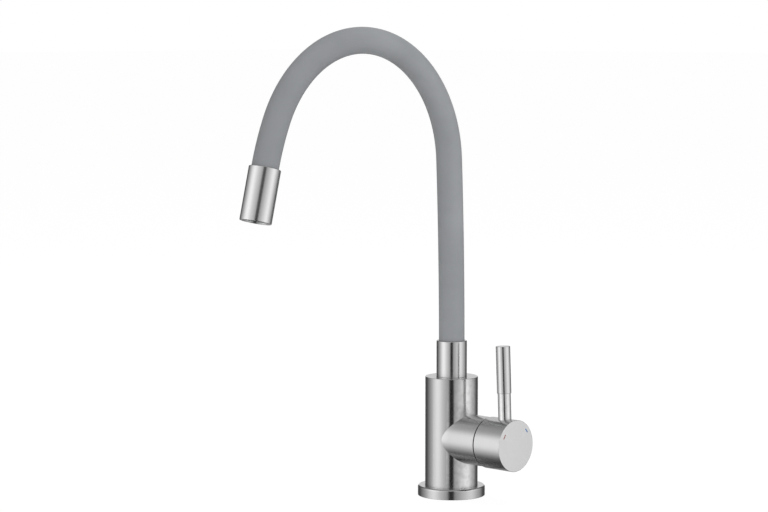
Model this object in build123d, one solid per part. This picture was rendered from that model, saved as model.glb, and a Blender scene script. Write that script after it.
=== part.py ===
from build123d import *
import math
import os

# Kitchen mixer tap with a side lever and a flexible hose spout. Sizes are in millimetres.
# The origin is the centre of the flange's underside, where the tap meets the deck. +Z is up,
# the spout reaches out along -Y and the valve with its lever points along +X.

# Clearances: seated pieces of one body, running fits between bodies, and free faces
seat_gap = 0.1
running_gap = 0.05
hole_gap = 0.1
free_gap = 0.3

# Foot flange and its gasket
flange_radius = 29.0
flange_height = 8.7
flange_floor = 3.0
flange_edge = 1.6
deck_window_radius = 17.0
gasket_width = 5.0
gasket_thickness = 1.8
gasket_margin = 2.2

# Column
column_radius = 22.75
column_top = 103.2
column_wall = 2.0
top_plate = 5.0
edge_break = 0.5

# Inlets and fixing stud in the foot of the waterway block
inlet_radius = 4.5
inlet_depth = 12.0
inlet_back = 5.0
inlet_spread = 8.5
channel_radius = 4.0
stud_radius = 3.4
stud_depth = 16.0
stud_forward = 10.0

# Valve cartridge, stacked back from the seam between the side arm and the lever's hub
valve_height = 50.6
seam_x = 43.5
cartridge_radius = 17.4
chamber_gap = 0.2
cup_wall = 1.65
arm_wall = 2.0
dome_spigot = 4.2
nut_thickness = 5.0
nut_opening = 12.3
housing_wall = 1.5
housing_front = 1.6
neck_radius = 12.0
neck_length = 6.9
rotor_neck_radius = 10.0
rotor_flange = 4.0
carrier_thickness = 2.0
moving_disc_thickness = 2.8
fixed_disc_thickness = 2.8
base_thickness = 2.6
cup_floor = 8.0
moving_disc_radius = 12.4
port_radius = 2.6
port_drop = 4.0
mixed_port_rise = 8.0
seal_wall = 1.2
seal_depth = 1.0
key_width = 4.0

# Lever mechanism
pivot_setback = 2.0
pin_radius = 1.5
spindle_waist = 6.0
spindle_square = 7.8
square_setback = 2.2
spindle_front = 27.5
tail_radius = 1.5
ball_reach = 7.6
ball_radius = 2.2
carrier_width = 18.0
carrier_height = 17.0
carrier_boss_radius = 4.5
carrier_boss = 1.8
rotor_slot_height = 11.2
window_low = 5.4
window_high = 8.0
rib_width = 3.4

# Dome ring and lever hub. The hub is a little wider than the arm, and the groove between them
# shows the dome ring's foot.
dome_wall = 2.0
dome_opening = 16.5
dome_step = 1.5
dome_foot = 1.0
dome_gap = 1.0
hub_radius = 22.0
hub_length = 29.9
hub_boss_radius = 8.0
hub_boss_start = 10.0
hub_edge = 0.4
set_screw_radius = 2.5
set_screw_length = 7.5
set_screw_setback = 2.9
plug_thickness = 2.0
plug_sink = 0.4
hex_key_size = 2.5
hex_key_depth = 2.5

# Lever stick, in two turned lengths that lean back towards the column
stick_offset = 17.4
stick_lean = 2.34
stem_radius = 5.55
stem_rise = 21.65
stem_sink = 4.5
grip_radius = 6.1
grip_length = 40.2
grip_chamfer = 0.5
thread_radius = 3.0
thread_length = 6.0

# Hot and cold marks on the hub's face
mark_length = 4.4
mark_width = 1.0
mark_depth = 0.3
hot_mark_place = (17.3, 147.0)
cold_mark_place = (18.0, 41.0)

# Swivel joint of the spout
socket_clearance = 3.35
stem_bore = 3.0
spout_stem_radius = 11.4
stem_end_gap = 0.5
neck_thread_radius = 9.6
lock_groove = 3.0
lock_groove_radius = 9.4
lock_screw_radius = 2.5
lock_tip_radius = 1.2
lock_tip = 3.2
seal_groove_radius = 9.3
seal_section = 1.05
seal_rise = 2.5
seal_drop = 2.5
slip_thickness = 0.8
collar_radius = 13.1
collar_top = 134.4
collar_floor = 8.0
collar_edge = 1.0

# Flexible hose: silicone sleeve, steel gooseneck, inner water tube and their end fittings
hose_radius = 11.05
sleeve_wall = 2.9
gooseneck_wall = 1.8
tube_wall = 1.9
layer_gap = 0.1
ferrule_length = 15.0
straight_rise = 13.5
lean_radius = 3500.0
lean_turn = 2.7
arch_radius = 106.4
arch_turn = 153.3
tail_bend_radius = 228.0
tail_bend_turn = 9.9
bend_count = 6
ball_margin = 2.95

# Outlet and aerator
outlet_radius = 13.0
outlet_length = 43.8
hose_insert = 14.3
plug_length = 7.0
outlet_edge = 0.6
water_way_radius = 7.5
aerator_depth = 11.8
aerator_recess = 1.2
aerator_wall = 1.7
washer_thickness = 1.6
insert_length = 5.5
screen_thickness = 0.9
screen_hole = 0.65
screen_pitch = 2.3
screen_rings = 3
insert_circle = 6.0
insert_hole = 0.9
insert_hole_count = 12

# Values that follow from the sizes above
arm_radius = cartridge_radius + chamber_gap + cup_wall + seat_gap + arm_wall
arm_inner = arm_radius - arm_wall
cup_radius = arm_inner - seat_gap
chamber_radius = cartridge_radius + chamber_gap
cup_front = seam_x - dome_spigot - chamber_gap
shoulder_x = cup_front - nut_thickness
housing_inner_x = shoulder_x - housing_front
rotor_back_x = housing_inner_x - chamber_gap - rotor_flange
carrier_back_x = rotor_back_x - seat_gap - carrier_thickness
moving_disc_x = carrier_back_x - moving_disc_thickness
fixed_disc_x = moving_disc_x - fixed_disc_thickness
base_x = fixed_disc_x - base_thickness
cup_back = base_x - cup_floor
housing_inner_radius = cartridge_radius - housing_wall
pivot_x = shoulder_x + pivot_setback
dome_radius = math.hypot(seam_x - pivot_x, arm_radius)
hub_hollow_radius = dome_radius + dome_gap
hub_face_x = seam_x + hub_length
set_screw_station = spindle_front - set_screw_setback
block_radius = column_radius - column_wall - seat_gap
block_top = column_top - top_plate - seat_gap
socket_radius = spout_stem_radius + running_gap
socket_floor = valve_height + arm_radius + socket_clearance
seal_height_low = socket_floor + seal_rise
seal_height_high = column_top - seal_drop
lock_height = (seal_height_low + seal_height_high) / 2
sleeve_inner = hose_radius - sleeve_wall
gooseneck_radius = sleeve_inner - layer_gap
gooseneck_inner = gooseneck_radius - gooseneck_wall
tube_radius = gooseneck_inner - layer_gap
tube_inner = tube_radius - tube_wall
nipple_radius = tube_inner - layer_gap
joint_ball = hose_radius + ball_margin
joint_socket = joint_ball + free_gap
collar_low = column_top + slip_thickness
hose_low = collar_low + collar_floor + chamber_gap
hose_fit_radius = hose_radius + chamber_gap
aerator_radius = outlet_radius - aerator_wall - seat_gap
aerator_ledge = outlet_length - aerator_depth
ports = [
    (-inlet_spread, -port_drop),
    (inlet_spread, -port_drop),
    (0.0, mixed_port_rise),
]

# The valve's frame: its z runs along the valve's axis from the column's axis, its x is the
# tap's +Y and its y is the tap's +Z. The lever's frame is the same, moved to the tilt pin.
valve_frame = Plane(origin=(0, 0, valve_height), x_dir=(0, 1, 0), z_dir=(1, 0, 0))
lever_frame = Plane(origin=(pivot_x, 0, valve_height), x_dir=(0, 1, 0), z_dir=(1, 0, 0))


def disc(radius, low, high, x=0.0, y=0.0):
    """A cylinder about an axis parallel to z, from low to high."""
    return Pos(x, y, (low + high) / 2) * Cylinder(radius, high - low)


def ring(outer, inner, low, high):
    """A tube about the z axis, from low to high."""
    return disc(outer, low, high) - disc(inner, low - 1, high + 1)


def block(x_range, y_range, z_range):
    """A box between the given limits."""
    spans = (x_range, y_range, z_range)
    sizes = [high - low for low, high in spans]
    middles = [(high + low) / 2 for low, high in spans]
    return Pos(*middles) * Box(*sizes)


def rounded_end(solid, height, radius, edge):
    """The solid with the circle of the given radius at a height along z rounded."""
    rims = [
        rim
        for rim in solid.edges().filter_by(GeomType.CIRCLE)
        if abs(rim.radius - radius) < 0.01 and abs(rim.center().Z - height) < 0.01
    ]
    return fillet(rims, edge)


def hex_hole(size, low, high):
    """A hexagonal key hole about z, size across its flats."""
    profile = Pos(0, 0, low) * RegularPolygon(size / 2, 6, major_radius=False)
    return extrude(profile, high - low)


def hose_runs():
    """The hose's centreline as (length, radius) runs, with no radius where it is straight."""
    return [
        (straight_rise, None),
        (lean_radius * math.radians(lean_turn), lean_radius),
        (arch_radius * math.radians(arch_turn), arch_radius),
        (tail_bend_radius * math.radians(tail_bend_turn), tail_bend_radius),
        (hose_insert, None),
    ]


def advance(reach, height, heading, length, radius):
    """The end of one run that starts at a point with a heading from the vertical."""
    if radius is None:
        return (
            reach + length * math.sin(heading),
            height + length * math.cos(heading),
            heading,
        )
    end = heading + length / radius
    return (
        reach + radius * (math.cos(heading) - math.cos(end)),
        height + radius * (math.sin(end) - math.sin(heading)),
        end,
    )


def hose_station(distance):
    """Reach, height and heading of the centreline at a distance from its lower end."""
    station = (0.0, hose_low, 0.0)
    left = distance
    for length, radius in hose_runs():
        step = min(left, length)
        station = advance(*station, step, radius)
        left -= step
        if left <= 0:
            return station
    return advance(*station, left, None)


def hose_point(distance):
    """The centreline's point at a distance from its lower end."""
    reach, height, _ = hose_station(distance)
    return Vector(0, -reach, height)


def hose_plane(distance):
    """A plane across the hose, whose z follows the centreline away from the column."""
    reach, height, heading = hose_station(distance)
    along = (0, -math.sin(heading), math.cos(heading))
    return Plane(origin=(0, -reach, height), x_dir=(1, 0, 0), z_dir=along)


def hose_path(start, end):
    """The centreline's wire between two distances, one edge for each run it crosses."""
    edges = []
    low = start
    run_end = 0.0
    for length, radius in hose_runs():
        run_end += length
        high = min(end, run_end)
        if high - low < 1e-6:
            continue
        if radius is None:
            edges.append(Line(hose_point(low), hose_point(high)))
        else:
            middle = hose_point((low + high) / 2)
            edges.append(ThreePointArc(hose_point(low), middle, hose_point(high)))
        low = high
    return Wire(edges)


runs = hose_runs()
arch_start = runs[0][0] + runs[1][0]
arch_length = runs[2][0]
outlet_start = arch_start + arch_length + runs[3][0]
hose_length = outlet_start + hose_insert
pivots = [arch_start + arch_length * (index + 0.5) / bend_count for index in range(bend_count)]
outlet_frame = hose_plane(outlet_start)


def base_flange():
    """The round foot: a floor with a window over the deck hole, and a recess for the column."""
    body = disc(flange_radius, 0, flange_height)
    body = rounded_end(body, flange_height, flange_radius, flange_edge)
    body -= disc(column_radius + seat_gap, flange_floor, flange_height + 1)
    body -= disc(deck_window_radius, -1, flange_floor + 1)
    return body - deck_gasket()


def deck_gasket():
    """The flat rubber ring in the flange's underside."""
    outer = flange_radius - gasket_margin
    return ring(outer, outer - gasket_width, 0, gasket_thickness)


def lock_screw_hole(radius, start):
    """The radial hole of the spout's lock screw, in the back of the column."""
    hole = disc(radius, start, column_radius + 1)
    return Plane(origin=(0, 0, lock_height), x_dir=(1, 0, 0), z_dir=(0, 1, 0)).location * hole


def column_tube():
    """The brushed tube of the column, with its closed top and the side arm's opening."""
    tube = disc(column_radius, flange_floor, column_top)
    tube = rounded_end(tube, column_top, column_radius, edge_break)
    tube -= disc(column_radius - column_wall, flange_floor - 1, column_top - top_plate)
    tube -= valve_frame.location * disc(arm_inner, 0, column_radius + 1)
    tube -= disc(socket_radius, column_top - top_plate - 1, column_top + 1)
    return tube - lock_screw_hole(lock_screw_radius + hole_gap, lock_groove_radius)


def side_arm():
    """The brushed tube of the side arm, cut to a saddle where it is welded to the column."""
    tube = valve_frame.location * ring(arm_radius, arm_inner, 0, seam_x)
    return tube - disc(column_radius, 0, column_top)


def inlet_port(side):
    """One threaded inlet with its channel up to the valve, on the hot or the cold side."""
    side_y = side * inlet_spread
    port_z = valve_height - port_drop
    thread = disc(inlet_radius, flange_floor - 1, flange_floor + inlet_depth, -inlet_back, side_y)
    riser = disc(channel_radius, flange_floor, port_z, -inlet_back, side_y)
    bend = Pos(-inlet_back, side_y, port_z) * Sphere(channel_radius)
    cross = disc(channel_radius, -inlet_back, cup_back + 1, side_y, -port_drop)
    return thread + riser + bend + valve_frame.location * cross


def mixed_channel():
    """The mixed water's way from the valve up into the spout's socket."""
    port_z = valve_height + mixed_port_rise
    cross = disc(channel_radius, 0, cup_back + 1, 0, mixed_port_rise)
    rise = disc(channel_radius, port_z, socket_floor + 1)
    bend = Pos(0, 0, port_z) * Sphere(channel_radius)
    return rise + bend + valve_frame.location * cross


def waterway_block():
    """The machined block inside the column, with the inlets, stud hole and spout socket."""
    body = disc(block_radius, flange_floor, block_top)
    body -= valve_frame.location * disc(cup_radius + seat_gap, cup_back, column_radius + 1)
    body -= disc(socket_radius, socket_floor, block_top + 1)
    body -= inlet_port(-1)
    body -= inlet_port(1)
    body -= mixed_channel()
    body -= disc(stud_radius, flange_floor - 1, flange_floor + stud_depth, stud_forward)
    return body - lock_screw_hole(lock_screw_radius + hole_gap, lock_groove_radius)


def spout_lock_screw():
    """The grub screw whose tip keeps the spout's stem in its socket."""
    back = block_radius + column_wall / 2
    shank = disc(lock_screw_radius, spout_stem_radius + free_gap, back)
    tip = disc(lock_tip_radius, spout_stem_radius + free_gap - lock_tip / 2, back - 1)
    screw = shank + tip - hex_hole(hex_key_size, back - hex_key_depth, back + 1)
    return Plane(origin=(0, 0, lock_height), x_dir=(1, 0, 0), z_dir=(0, 1, 0)).location * screw


def slip_washer():
    """The plastic ring that the collar turns on."""
    return ring(collar_radius - free_gap, socket_radius, column_top, column_top + slip_thickness)


def port_holes(radius, low, high):
    """The three round ways for hot, cold and mixed water."""
    holes = [disc(radius, low, high, x, y) for x, y in ports]
    return holes[0] + holes[1] + holes[2]


def cartridge_cup():
    """The cup in the side arm that holds the cartridge against its ports."""
    body = disc(cup_radius, cup_back, cup_front)
    body -= disc(chamber_radius, base_x, cup_front + 1)
    body -= port_holes(port_radius, cup_back - 1, base_x + 1)
    body -= key_notch(base_x - 1, 0.0)
    return valve_frame.location * body


def key_notch(low, gap):
    """The place of the key that stops the cartridge from turning in its cup."""
    half = key_width / 2 + gap
    outer = cartridge_radius - seal_wall
    return block((-half, half), (-outer, -outer + key_width), (low, base_x + seal_depth))


def cartridge_base():
    """The cartridge's foot plate, with its ports, seal recesses and key."""
    body = disc(cartridge_radius, base_x, fixed_disc_x)
    body -= port_holes(port_radius + seal_wall, base_x - 1, base_x + seal_depth)
    body -= port_holes(port_radius, base_x - 1, fixed_disc_x + 1)
    body += key_notch(base_x - 1 + seat_gap, -seat_gap)
    return valve_frame.location * body


def port_seals():
    """The three rubber rings around the ports."""
    outer = port_holes(port_radius + seal_wall, base_x, base_x + seal_depth)
    rings = outer - port_holes(port_radius, base_x - 1, base_x + seal_depth + 1)
    return valve_frame.location * rings


def fixed_ceramic_disc():
    """The ceramic disc that stays put, with the three ports."""
    radius = housing_inner_radius - seat_gap
    body = disc(radius, fixed_disc_x, moving_disc_x)
    body -= port_holes(port_radius, fixed_disc_x - 1, moving_disc_x + 1)
    return valve_frame.location * body


def moving_ceramic_disc():
    """The ceramic disc that slides and turns over the ports, with its mixing hollow."""
    body = disc(moving_disc_radius, moving_disc_x, carrier_back_x)
    hollow = disc(mixed_port_rise, moving_disc_x - 1, moving_disc_x + moving_disc_thickness / 2)
    return valve_frame.location * (body - hollow)


def disc_carrier():
    """The plastic slider on the moving disc, with the pocket for the spindle's ball."""
    half_width = carrier_width / 2
    half_height = carrier_height / 2
    front = carrier_back_x + carrier_thickness
    plate = block((-half_width, half_width), (-half_height, half_height), (carrier_back_x, front))
    body = plate + disc(carrier_boss_radius, carrier_back_x, front + carrier_boss)
    pocket = disc(ball_radius + free_gap, pivot_x - ball_reach - ball_radius - free_gap, pivot_x)
    return valve_frame.location * (body - pocket)


def cartridge_housing():
    """The cartridge's plastic case with the neck that guides the rotor."""
    case = disc(cartridge_radius, fixed_disc_x, shoulder_x)
    case += disc(neck_radius, shoulder_x - 1, shoulder_x + neck_length)
    case -= disc(housing_inner_radius, fixed_disc_x - 1, housing_inner_x)
    case -= disc(rotor_neck_radius + running_gap, housing_inner_x - 1, shoulder_x + neck_length + 1)
    return valve_frame.location * case


def cartridge_nut():
    """The threaded ring that clamps the cartridge, with two slots for its key."""
    body = ring(chamber_radius - seat_gap, nut_opening, shoulder_x, cup_front)
    slot_half = key_width / 2
    reach = chamber_radius + 1
    slots = block((-slot_half, slot_half), (-reach, reach), (cup_front - 2, cup_front + 1))
    return valve_frame.location * (body - slots)


def cartridge_rotor():
    """The turning plug of the cartridge, slotted for the spindle and ribbed for the carrier."""
    neck_end = shoulder_x + neck_length
    body = disc(housing_inner_radius - free_gap, rotor_back_x, housing_inner_x - chamber_gap)
    body += disc(rotor_neck_radius, rotor_back_x, neck_end)
    rib_low = carrier_width / 2 + seat_gap
    rib_z = (carrier_back_x + chamber_gap, rotor_back_x + 1)
    for side in (-1, 1):
        span = sorted((side * rib_low, side * (rib_low + rib_width)))
        body += block(span, (-carrier_height / 2, carrier_height / 2), rib_z)
    half_slot = spindle_waist / 2 + seat_gap
    half_height = rotor_slot_height / 2
    body -= block(
        (-half_slot, half_slot), (-half_height, half_height), (rotor_back_x - 1, neck_end + 1)
    )
    window = carrier_boss_radius + free_gap
    body -= block((-window, window), (-window_low, window_high), (rotor_back_x - 1, shoulder_x))
    pin_hole = disc(pin_radius + seat_gap / 2, -rotor_neck_radius - 1, rotor_neck_radius + 1)
    return valve_frame.location * (body - Pos(0, 0, pivot_x) * (Rot(0, 90, 0) * pin_hole))


def pivot_pin():
    """The steel pin that the spindle tilts on, across the rotor."""
    half = rotor_neck_radius - free_gap
    return lever_frame.location * (Rot(0, 90, 0) * disc(pin_radius, -half, half))


def rotor_seal():
    """The rubber ring between the rotor's flange and the housing."""
    outer = housing_inner_radius - 2 * free_gap
    low = housing_inner_x - chamber_gap
    return valve_frame.location * ring(outer, outer - 2 * seal_wall, low, housing_inner_x)


def spindle():
    """The lever spindle: a square front, a flat waist on the pin, and a ball-ended tail."""
    half = spindle_square / 2
    waist = spindle_waist / 2
    neck_front = shoulder_x + neck_length - pivot_x
    square_start = neck_front + square_setback
    body = block((-half, half), (-half, half), (square_start, spindle_front))
    body += block((-waist, waist), (-waist, waist), (-waist, square_start + 1))
    body += disc(tail_radius, -ball_reach, 0)
    body += Pos(0, 0, -ball_reach) * Sphere(ball_radius)
    body -= Rot(0, 90, 0) * disc(pin_radius + running_gap, -half - 1, half + 1)
    return lever_frame.location * body


def dome_ring():
    """The spherical ring on the arm's end that the hub's hollow slides over."""
    foot_z = seam_x - pivot_x
    body = disc(arm_radius - dome_step, foot_z, dome_radius) & Sphere(dome_radius)
    inside = disc(dome_radius, foot_z + dome_foot, dome_radius) & Sphere(dome_radius - dome_wall)
    body += disc(cup_radius, foot_z - dome_spigot, foot_z)
    body -= disc(cup_radius - dome_wall, foot_z - dome_spigot - 1, foot_z + 2 * dome_foot)
    return lever_frame.location * (body - inside - disc(dome_opening, foot_z, dome_radius + 1))


def mark_block(place, depth):
    """A mark on the hub's face: its plate lies across the radius at the given place."""
    radius, angle = place
    plate = block((-mark_width / 2, mark_width / 2), (-mark_length / 2, mark_length / 2), (-depth, 0))
    return valve_frame.location * (Rot(0, 0, angle) * (Pos(radius, 0, hub_face_x) * plate))


def stick_frame(height):
    """The stick's frame at a height along it above the hub's surface."""
    lean = math.radians(stick_lean)
    base = Vector(seam_x + stick_offset, 0, valve_height + hub_radius)
    along = Vector(-math.sin(lean), 0, math.cos(lean))
    return Plane(origin=base + along * height, x_dir=(math.cos(lean), 0, math.sin(lean)), z_dir=along)


def lever_hub():
    """The round hub on the spindle, hollowed behind to slide over the dome ring."""
    rear = seam_x - pivot_x
    face = hub_face_x - pivot_x
    body = disc(hub_radius, rear, face)
    body = rounded_end(body, face, hub_radius, hub_edge)
    body -= Sphere(hub_hollow_radius)
    body += disc(hub_boss_radius, hub_boss_start, hub_hollow_radius + 1)
    half = spindle_square / 2 + seat_gap
    body -= block((-half, half), (-half, half), (hub_boss_start - 1, spindle_front + seat_gap))
    screw_hole = disc(set_screw_radius + seat_gap, 0, hub_radius + 1)
    body -= Pos(0, 0, set_screw_station) * (Rot(90, 0, 0) * screw_hole)
    body = lever_frame.location * body
    sink = stick_frame(-stem_sink)
    body -= sink.location * disc(stem_radius + seat_gap, 0, stem_sink + stem_radius)
    body -= sink.location * disc(thread_radius + seat_gap, -thread_length - seat_gap, 1)
    body -= mark_block(hot_mark_place, mark_depth)
    return body - mark_block(cold_mark_place, mark_depth)


def hub_set_screw():
    """The grub screw that clamps the hub on the spindle, from below."""
    low = spindle_square / 2
    high = low + set_screw_length
    screw = disc(set_screw_radius, low, high)
    screw -= hex_hole(hex_key_size, high - hex_key_depth, high + 1)
    return lever_frame.location * (Pos(0, 0, set_screw_station) * (Rot(90, 0, 0) * screw))


def set_screw_plug():
    """The small plug that closes the set screw's hole."""
    outer = hub_radius - plug_sink
    plug = disc(set_screw_radius, outer - plug_thickness, outer)
    return lever_frame.location * (Pos(0, 0, set_screw_station) * (Rot(90, 0, 0) * plug))


def lever_stem():
    """The thinner lower length of the stick, threaded into the hub and the grip."""
    body = disc(stem_radius, 0, stem_sink + stem_rise)
    body += disc(thread_radius, -thread_length, stem_sink + stem_rise + 2 * thread_length)
    return stick_frame(-stem_sink).location * body


def lever_grip():
    """The thicker upper length of the stick, with broken edges."""
    body = disc(grip_radius, 0, grip_length)
    body = rounded_end(body, grip_length, grip_radius, grip_chamfer)
    body = rounded_end(body, 0, grip_radius, grip_chamfer)
    body -= disc(thread_radius + seat_gap, -1, 2 * thread_length + seat_gap)
    return stick_frame(stem_rise).location * body


def spout_stem():
    """The brass stem that turns in the socket, with seal grooves and the hose's nipple."""
    collar_neck = collar_low + collar_floor
    body = disc(spout_stem_radius, socket_floor + stem_end_gap, collar_low)
    for height in (seal_height_low, seal_height_high):
        half = seal_section + seat_gap
        body -= ring(spout_stem_radius + 1, seal_groove_radius, height - half, height + half)
    body -= ring(
        spout_stem_radius + 1,
        lock_groove_radius,
        lock_height - lock_groove / 2,
        lock_height + lock_groove / 2,
    )
    body += disc(neck_thread_radius, collar_low - 1, collar_neck)
    body += disc(nipple_radius, collar_neck - 1, collar_neck + ferrule_length)
    return body - disc(stem_bore, socket_floor, collar_neck + ferrule_length + 1)


def spout_o_rings():
    """The two rubber rings in the stem's grooves."""
    major = spout_stem_radius - seal_section
    low = Pos(0, 0, seal_height_low) * Torus(major, seal_section)
    high = Pos(0, 0, seal_height_high) * Torus(major, seal_section)
    return low + high


def spout_collar():
    """The steel collar that the hose stands in."""
    body = disc(collar_radius, collar_low, collar_top)
    body = rounded_end(body, collar_top, collar_radius, collar_edge)
    body -= disc(neck_thread_radius + seat_gap, collar_low - 1, collar_low + collar_floor + 1)
    return body - disc(hose_fit_radius, collar_low + collar_floor, collar_top + 1)


def lower_ferrule():
    """The crimped ring round the water tube at the spout's foot."""
    top = hose_low + ferrule_length
    return ring(gooseneck_radius, tube_radius + layer_gap, hose_low, top)


def hose_layer(outer, inner, start, end):
    """One layer of the hose between two distances along it."""
    section = hose_plane(start) * (Circle(outer) - Circle(inner))
    return sweep(section, path=hose_path(start, end))


def ball_end_waste(pivot):
    """What lies past a bend's ball: the space that the next length of hose takes."""
    reach = joint_ball + 4
    waste = disc(hose_radius + 4, 0, reach) - Sphere(joint_ball)
    return hose_plane(pivot).location * waste


def hose_piece(outer, inner, index, first, last):
    """A length of one layer, hollow-ended over the bend before it, ball-ended at the next."""
    start = first if index == 0 else pivots[index - 1]
    end = last if index == bend_count else pivots[index] + joint_ball + 2
    body = hose_layer(outer, inner, start, end)
    if index > 0:
        body -= Pos(*hose_point(start)) * Sphere(joint_socket)
    if index < bend_count:
        body -= ball_end_waste(pivots[index])
    return body


def outlet_sleeve():
    """The steel sleeve at the hose's end, threaded inside for the nipple and the aerator."""
    body = disc(outlet_radius, 0, outlet_length)
    body = rounded_end(body, outlet_length, outlet_radius, outlet_edge)
    body = rounded_end(body, 0, outlet_radius, outlet_edge)
    body -= disc(hose_fit_radius, -1, hose_insert + seat_gap)
    body -= disc(neck_thread_radius + seat_gap, 0, aerator_ledge + 1)
    body -= disc(aerator_radius + seat_gap, aerator_ledge, outlet_length + 1)
    return outlet_frame.location * body


def outlet_nipple():
    """The brass fitting between the water tube and the outlet sleeve."""
    plug_low = hose_insert + seat_gap
    body = disc(neck_thread_radius, plug_low, plug_low + plug_length)
    body += disc(nipple_radius, plug_low - ferrule_length, plug_low + 1)
    body -= disc(stem_bore, plug_low - ferrule_length - 1, plug_low + plug_length + 1)
    body -= disc(water_way_radius, plug_low + plug_length / 2, plug_low + plug_length + 1)
    return outlet_frame.location * body


def upper_ferrule():
    """The crimped ring round the water tube at the outlet."""
    low = hose_insert - ferrule_length
    body = ring(gooseneck_radius, tube_radius + layer_gap, low, hose_insert)
    return outlet_frame.location * body


def aerator_seat():
    """The height along the outlet at which the aerator's housing starts."""
    return aerator_ledge + washer_thickness


def aerator_washer():
    """The rubber washer between the outlet's ledge and the aerator."""
    body = ring(aerator_radius, water_way_radius, aerator_ledge, aerator_seat())
    return outlet_frame.location * body


def aerator_housing():
    """The aerator's threaded ring, just inside the outlet's mouth."""
    low = aerator_seat()
    high = outlet_length - aerator_recess
    body = ring(aerator_radius, aerator_radius - aerator_wall, low, high)
    lip = ring(aerator_radius, water_way_radius, low, low + screen_thickness)
    return outlet_frame.location * (body + lip)


def aerator_insert():
    """The plastic jet plate inside the aerator, with a circle of holes."""
    low = aerator_seat() + screen_thickness
    high = low + insert_length
    outer = aerator_radius - aerator_wall - seat_gap
    spots = PolarLocations(insert_circle, insert_hole_count)
    body = disc(outer, low, high) - [spot * disc(insert_hole, low - 1, high + 1) for spot in spots]
    return outlet_frame.location * body


def aerator_screen():
    """The perforated disc at the aerator's mouth."""
    high = outlet_length - aerator_recess - screen_thickness / 2
    outer = aerator_radius - aerator_wall - seat_gap
    hole = disc(screen_hole, high - 2 * screen_thickness, high + 1)
    holes = [hole]
    for row in range(1, screen_rings + 1):
        holes += [spot * hole for spot in PolarLocations(row * screen_pitch, 6 * row)]
    body = disc(outer, high - screen_thickness, high) - holes
    return outlet_frame.location * body


def whole_parts():
    """Every piece but the hose's lengths, by name."""
    return {
        "base_flange": base_flange(),
        "deck_gasket": deck_gasket(),
        "column_tube": column_tube(),
        "side_arm": side_arm(),
        "waterway_block": waterway_block(),
        "spout_lock_screw": spout_lock_screw(),
        "slip_washer": slip_washer(),
        "cartridge_cup": cartridge_cup(),
        "cartridge_base": cartridge_base(),
        "port_seals": port_seals(),
        "fixed_ceramic_disc": fixed_ceramic_disc(),
        "cartridge_housing": cartridge_housing(),
        "cartridge_nut": cartridge_nut(),
        "dome_ring": dome_ring(),
        "cartridge_rotor": cartridge_rotor(),
        "pivot_pin": pivot_pin(),
        "rotor_seal": rotor_seal(),
        "disc_carrier": disc_carrier(),
        "moving_ceramic_disc": moving_ceramic_disc(),
        "spindle": spindle(),
        "lever_hub": lever_hub(),
        "hub_set_screw": hub_set_screw(),
        "set_screw_plug": set_screw_plug(),
        "lever_stem": lever_stem(),
        "lever_grip": lever_grip(),
        "hot_mark": mark_block(hot_mark_place, mark_depth),
        "cold_mark": mark_block(cold_mark_place, mark_depth),
        "spout_stem": spout_stem(),
        "spout_o_rings": spout_o_rings(),
        "spout_collar": spout_collar(),
        "lower_ferrule": lower_ferrule(),
        "outlet_sleeve": outlet_sleeve(),
        "outlet_nipple": outlet_nipple(),
        "upper_ferrule": upper_ferrule(),
        "aerator_washer": aerator_washer(),
        "aerator_housing": aerator_housing(),
        "aerator_insert": aerator_insert(),
        "aerator_screen": aerator_screen(),
    }


def hose_parts():
    """The lengths of the sleeve, the gooseneck and the water tube between the bends."""
    core_first = ferrule_length + seat_gap
    core_last = hose_length - ferrule_length - seat_gap
    layers = {
        "hose_sleeve": (hose_radius, sleeve_inner, 0.0, hose_length),
        "gooseneck": (gooseneck_radius, gooseneck_inner, core_first, core_last),
        "water_tube": (tube_radius, tube_inner, 0.0, hose_length),
    }
    parts = {}
    for name, (outer, inner, first, last) in layers.items():
        for index in range(bend_count + 1):
            parts[f"{name}_{index}"] = hose_piece(outer, inner, index, first, last)
    return parts


os.makedirs("parts", exist_ok=True)
for node, solid in {**whole_parts(), **hose_parts()}.items():
    export_step(solid, f"parts/{node}.step")

print("bend pivots (y, z), mm:")
for pivot in pivots:
    spot = hose_point(pivot)
    print(f"  {spot.Y:.4f} {spot.Z:.4f}")
print(f"tilt pin x {pivot_x:.4f}, z {valve_height:.4f}")
print(f"outlet top {outlet_frame.origin}, axis {outlet_frame.z_dir}")
print(f"hose length {hose_length:.1f}, carrier travel per radian {ball_reach:.2f}")
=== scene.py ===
import bpy
import bmesh
import math
from mathutils import Matrix, Vector

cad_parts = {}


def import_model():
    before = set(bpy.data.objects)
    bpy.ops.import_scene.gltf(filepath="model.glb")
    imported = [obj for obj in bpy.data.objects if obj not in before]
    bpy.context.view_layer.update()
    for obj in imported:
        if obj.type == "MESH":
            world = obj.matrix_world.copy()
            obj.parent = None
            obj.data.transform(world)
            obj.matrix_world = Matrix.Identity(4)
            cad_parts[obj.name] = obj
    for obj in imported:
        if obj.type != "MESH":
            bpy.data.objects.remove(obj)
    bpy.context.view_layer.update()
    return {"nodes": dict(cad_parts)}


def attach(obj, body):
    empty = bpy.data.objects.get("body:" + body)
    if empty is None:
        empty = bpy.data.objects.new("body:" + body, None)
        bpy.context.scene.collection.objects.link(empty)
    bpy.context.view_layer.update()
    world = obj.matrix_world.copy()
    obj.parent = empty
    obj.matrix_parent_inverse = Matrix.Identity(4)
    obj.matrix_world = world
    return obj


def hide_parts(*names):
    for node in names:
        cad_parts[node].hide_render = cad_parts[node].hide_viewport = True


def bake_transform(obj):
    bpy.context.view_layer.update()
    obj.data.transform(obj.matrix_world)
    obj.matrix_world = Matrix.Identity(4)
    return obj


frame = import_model()

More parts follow.
